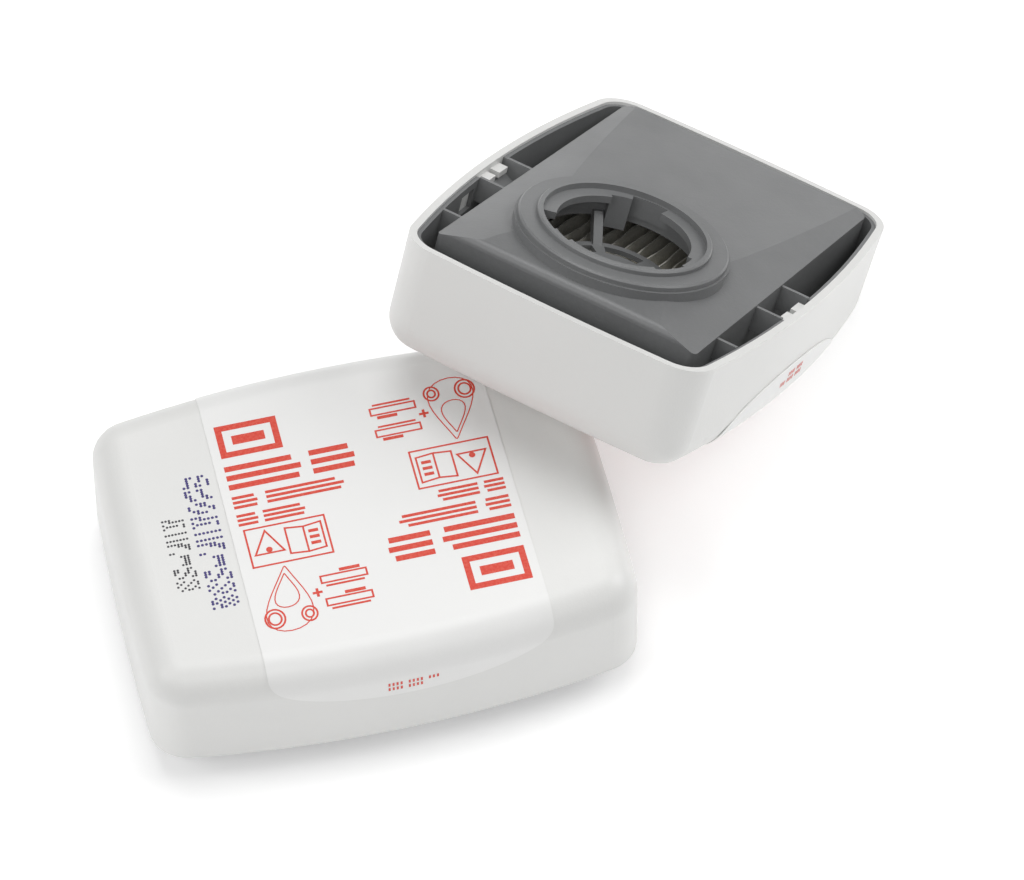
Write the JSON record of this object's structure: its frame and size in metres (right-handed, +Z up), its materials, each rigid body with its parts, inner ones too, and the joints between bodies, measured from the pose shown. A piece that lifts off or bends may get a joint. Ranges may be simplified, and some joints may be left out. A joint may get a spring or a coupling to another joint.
{
  "type": "respirator filter cartridges",
  "caption": "Bayonet filter cartridges for a half mask: bowed white cover, grey port housing, one standing label up and one leaning port up.",
  "frame": {"origin": "centre of the standing cartridge's bayonet port, on the seating face that rests on the floor", "axes": "+Z up, from the standing cartridge's port to its label; X along its long axis with the port on the +X side of its middle; Y across, with the leaning cartridge on the +X +Y side"},
  "size_m": [0.1933, 0.1495, 0.0744],
  "materials": {
    "cover_white": "satin moulded",
    "label_sheet": "semi-gloss film",
    "grey_moulding": "fine satin",
    "media": "pleated fibre paper",
    "potting": "cured resin"
  },
  "bodies": {
    "flat_cartridge": {"flat_cover": "cover_white", "flat_label": "label_sheet", "flat_inner_skirt": "grey_moulding", "flat_housing": "grey_moulding", "flat_port_flange": "grey_moulding", "flat_bayonet_ring": "grey_moulding", "flat_media_grid": "grey_moulding", "flat_pleated_media": "media", "flat_potting_bead": "potting"},
    "leaning_cartridge": {"leaning_cover": "cover_white", "leaning_label": "label_sheet", "leaning_inner_skirt": "grey_moulding", "leaning_housing": "grey_moulding", "leaning_port_flange": "grey_moulding", "leaning_bayonet_ring": "grey_moulding", "leaning_media_grid": "grey_moulding", "leaning_pleated_media": "media", "leaning_potting_bead": "potting"}
  },
  "joints": [
    {"name": "leaning_cartridge_lift", "type": "slide", "parent": "flat_cartridge", "child": "leaning_cartridge", "axis": [0, 0, 1], "range_m": [0, 0.12]}
  ]
}
